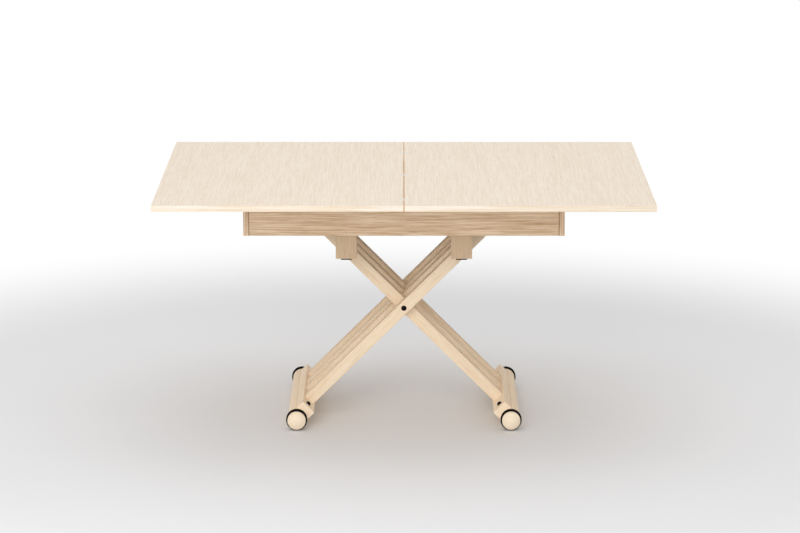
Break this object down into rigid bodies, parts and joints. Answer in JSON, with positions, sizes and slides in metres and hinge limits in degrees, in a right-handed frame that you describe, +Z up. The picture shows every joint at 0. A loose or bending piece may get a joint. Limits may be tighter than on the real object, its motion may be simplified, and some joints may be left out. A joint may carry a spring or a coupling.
{
  "type": "convertible coffee dining table",
  "caption": "Folding wooden table: a hinged double-leaf top that swivels on a frame, carried by a rolling scissor stand that lowers from dining to coffee height.",
  "frame": {"origin": "on the floor, under the middle of the open top", "axes": "+Z up, +X along the open top from the left leaf to the right one, +Y away from the viewer"},
  "size_m": [1.5, 1.1, 0.7621],
  "materials": {
    "leaf_veneer": "bleached oak veneer, matt lacquer",
    "lipping": "pale oak lipping, matt lacquer",
    "apron_wood": "bleached oak, matt lacquer",
    "inner_wood": "raw plywood and beech",
    "block_wood": "bleached oak, matt lacquer",
    "leg_wood": "bleached beech, matt lacquer",
    "foot_wood": "bleached beech, matt lacquer",
    "wheel_wood": "turned beech, matt lacquer",
    "black_rubber": "matt black rubber",
    "black_steel": "black oxide",
    "bright_steel": "bright turned steel",
    "zinc_plate": "zinc plated",
    "hinge_nickel": "satin nickel",
    "spring_enamel": "black enamel",
    "runner_plastic": "white nylon",
    "bush_brass": "plain brass",
    "felt": "dark felt"
  },
  "bodies": {
    "frame": {"apron_front": "apron_wood", "apron_back": "apron_wood", "apron_left": "apron_wood", "apron_right": "apron_wood", "deck": "inner_wood", "deck_screws": "bright_steel", "corner_blocks": "inner_wood", "track_front": "inner_wood", "track_back": "inner_wood", "glide_pads": "felt", "rest_blocks_front": "block_wood", "rest_blocks_back": "block_wood", "rest_pads": "black_rubber", "spring_rod": "bright_steel", "spring_anchor": "zinc_plate", "swivel_base": "zinc_plate"},
    "lever": {"release_lever": "black_steel"},
    "carriage_a": {"axle_a": "bright_steel", "runners_a": "runner_plastic"},
    "legs_a": {"leg_a_front": "leg_wood", "leg_a_inner_front": "leg_wood", "leg_a_inner_rear": "leg_wood", "leg_a_rear": "leg_wood", "pivot_rod": "bright_steel", "pivot_caps": "black_steel", "foot_bar_left": "foot_wood", "round_rail_left": "foot_wood", "foot_bolts_left": "black_steel", "wheel_stubs_left": "bright_steel"},
    "legs_b": {"leg_b_front": "leg_wood", "leg_b_middle": "leg_wood", "leg_b_rear": "leg_wood", "pivot_bushes": "bush_brass", "foot_bar_right": "foot_wood", "round_rail_right": "foot_wood", "foot_bolts_right": "black_steel", "wheel_stubs_right": "bright_steel"},
    "carriage_b": {"axle_b": "bright_steel", "runners_b": "runner_plastic", "spring_yoke": "zinc_plate", "spring_cylinder": "spring_enamel"},
    "top": {"leaf_left": "leaf_veneer", "lipping_left": "lipping", "hinge_flaps_left": "hinge_nickel", "hinge_pins": "hinge_nickel", "swivel_plate": "zinc_plate", "swivel_pin": "bright_steel", "swivel_nut": "bright_steel"},
    "right_leaf": {"leaf_right": "leaf_veneer", "lipping_right": "lipping", "hinge_flaps_right": "hinge_nickel"},
    "front_left_wheel": {"wheel_front_left": "wheel_wood", "tyre_front_left": "black_rubber"},
    "back_left_wheel": {"wheel_back_left": "wheel_wood", "tyre_back_left": "black_rubber"},
    "front_right_wheel": {"wheel_front_right": "wheel_wood", "tyre_front_right": "black_rubber"},
    "back_right_wheel": {"wheel_back_right": "wheel_wood", "tyre_back_right": "black_rubber"}
  },
  "joints": [
    {"name": "carriage_slide", "type": "slide", "parent": "frame", "child": "carriage_a", "axis": [1, 0, 0], "range_m": [0, 0.12511]},
    {"name": "leg_fold", "type": "hinge", "parent": "carriage_a", "child": "legs_a", "pos_m": [0.31113, 0, 0.67112], "axis": [0, 1, 0], "range_deg": [0, 37.5]},
    {"name": "scissor_pivot", "type": "hinge", "parent": "legs_a", "child": "legs_b", "pos_m": [0, 0, 0.35999], "axis": [0, 1, 0], "range_deg": [-75, 0]},
    {"name": "carriage_level", "type": "hinge", "parent": "legs_b", "child": "carriage_b", "pos_m": [-0.31113, 0, 0.67112], "axis": [0, 1, 0], "range_deg": [0, 37.5]},
    {"name": "top_swivel", "type": "hinge", "parent": "frame", "child": "top", "pos_m": [-0.1875, 0.1875, 0.74212], "axis": [0, 0, 1], "range_deg": [0, 90]},
    {"name": "leaf_fold", "type": "hinge", "parent": "top", "child": "right_leaf", "pos_m": [0, 0, 0.76032], "axis": [0, -1, 0], "range_deg": [0, 180]},
    {"name": "lever_squeeze", "type": "hinge", "parent": "frame", "child": "lever", "pos_m": [0.44, 0.072, 0.70012], "axis": [0, -1, 0], "range_deg": [0, 7], "stiffness_Nm_per_rad": 0.6, "springref_deg": -11.46},
    {"name": "front_left_roll", "type": "hinge", "parent": "legs_a", "child": "front_left_wheel", "pos_m": [-0.33163, -0.2725, 0.0326], "axis": [0, 1, 0], "continuous": true},
    {"name": "back_left_roll", "type": "hinge", "parent": "legs_a", "child": "back_left_wheel", "pos_m": [-0.33163, 0.2725, 0.0326], "axis": [0, 1, 0], "continuous": true},
    {"name": "front_right_roll", "type": "hinge", "parent": "legs_b", "child": "front_right_wheel", "pos_m": [0.33163, -0.2725, 0.0326], "axis": [0, 1, 0], "continuous": true},
    {"name": "back_right_roll", "type": "hinge", "parent": "legs_b", "child": "back_right_wheel", "pos_m": [0.33163, 0.2725, 0.0326], "axis": [0, 1, 0], "continuous": true}
  ],
  "couplings": [
    {"joint": "carriage_slide", "follows": "leg_fold", "m_per_rad": 0.19115},
    {"joint": "scissor_pivot", "follows": "leg_fold", "ratio": -2},
    {"joint": "carriage_level", "follows": "leg_fold", "ratio": 1}
  ]
}
